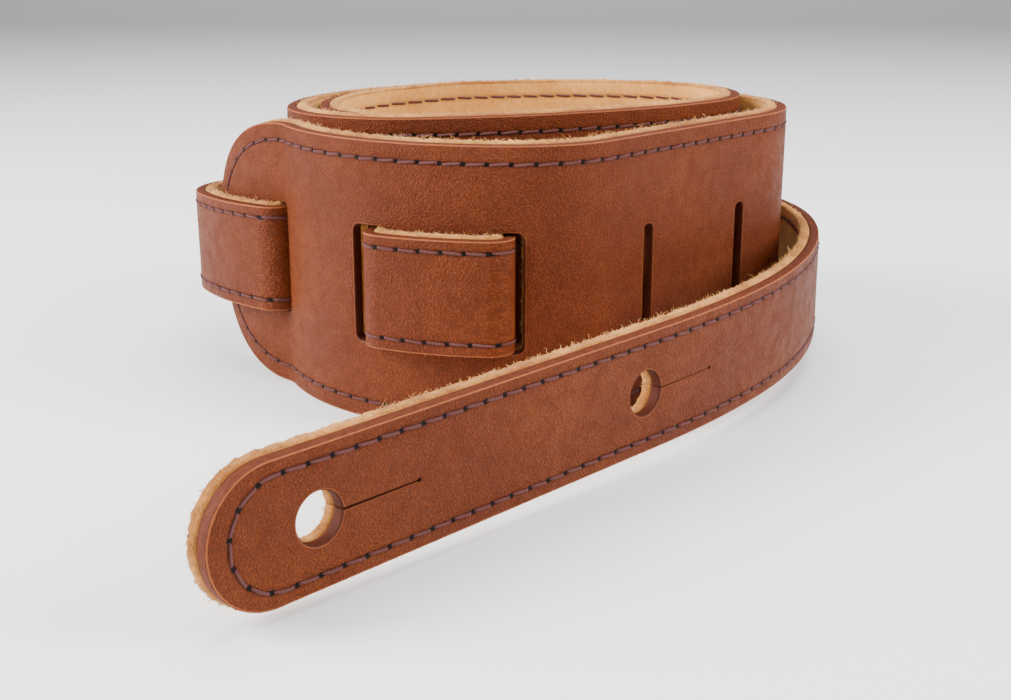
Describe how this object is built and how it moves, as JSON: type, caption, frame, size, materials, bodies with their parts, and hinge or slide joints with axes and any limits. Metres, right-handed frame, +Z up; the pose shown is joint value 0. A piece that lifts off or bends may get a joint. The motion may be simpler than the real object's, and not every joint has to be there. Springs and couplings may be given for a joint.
{
  "type": "guitar strap",
  "caption": "Rolled two-layer leather guitar strap: wide band with a ladder of upright slots, narrow tail woven through them, free tip with a slit button hole.",
  "frame": {"origin": "middle of the footprint of the rolled strap, on the surface it stands on", "axes": "+Z up, along the leather's edges; -Y towards the front panel with the ladder; +X to the right when looking at the front panel"},
  "size_m": [0.1636, 0.2399, 0.0663],
  "materials": {
    "brown_leather": "pebbled full grain, semi-matte",
    "suede_lining": "napped suede, matte",
    "thread": "waxed, dark purple-brown"
  },
  "bodies": {
    "coil": {"band_face": "brown_leather", "band_lining": "suede_lining", "band_face_thread": "thread", "band_lining_thread": "thread", "woven_tail_face": "brown_leather", "woven_tail_lining": "suede_lining", "woven_tail_face_thread": "thread", "woven_tail_lining_thread": "thread"},
    "inner_end": {"inner_end_face": "brown_leather", "inner_end_lining": "suede_lining", "inner_end_face_thread": "thread", "inner_end_lining_thread": "thread"},
    "near_tail": {"near_tail_face": "brown_leather", "near_tail_lining": "suede_lining", "near_tail_face_thread": "thread", "near_tail_lining_thread": "thread"},
    "middle_tail": {"middle_tail_face": "brown_leather", "middle_tail_lining": "suede_lining", "middle_tail_face_thread": "thread", "middle_tail_lining_thread": "thread"},
    "tail_tip": {"tail_tip_face": "brown_leather", "tail_tip_lining": "suede_lining", "tail_tip_face_thread": "thread", "tail_tip_lining_thread": "thread"}
  },
  "joints": [
    {"name": "inner_end_swing", "type": "hinge", "parent": "coil", "child": "inner_end", "pos_m": [-0.04544, 0.04829, 0.03205], "axis": [0, 0, 1], "range_deg": [0, 25]},
    {"name": "near_tail_swing", "type": "hinge", "parent": "coil", "child": "near_tail", "pos_m": [0.07736, 0.04126, 0.02], "axis": [-0.0185, -0.0185, 0.9997], "range_deg": [0, 60]},
    {"name": "middle_tail_bend", "type": "hinge", "parent": "near_tail", "child": "middle_tail", "pos_m": [0.05508, -0.00943, 0.01865], "axis": [-0.0185, -0.0185, 0.9997], "range_deg": [-20, 40]},
    {"name": "tail_tip_bend", "type": "hinge", "parent": "middle_tail", "child": "tail_tip", "pos_m": [0.00821, -0.06098, 0.01683], "axis": [-0.0185, -0.0185, 0.9997], "range_deg": [-40, 60]}
  ]
}
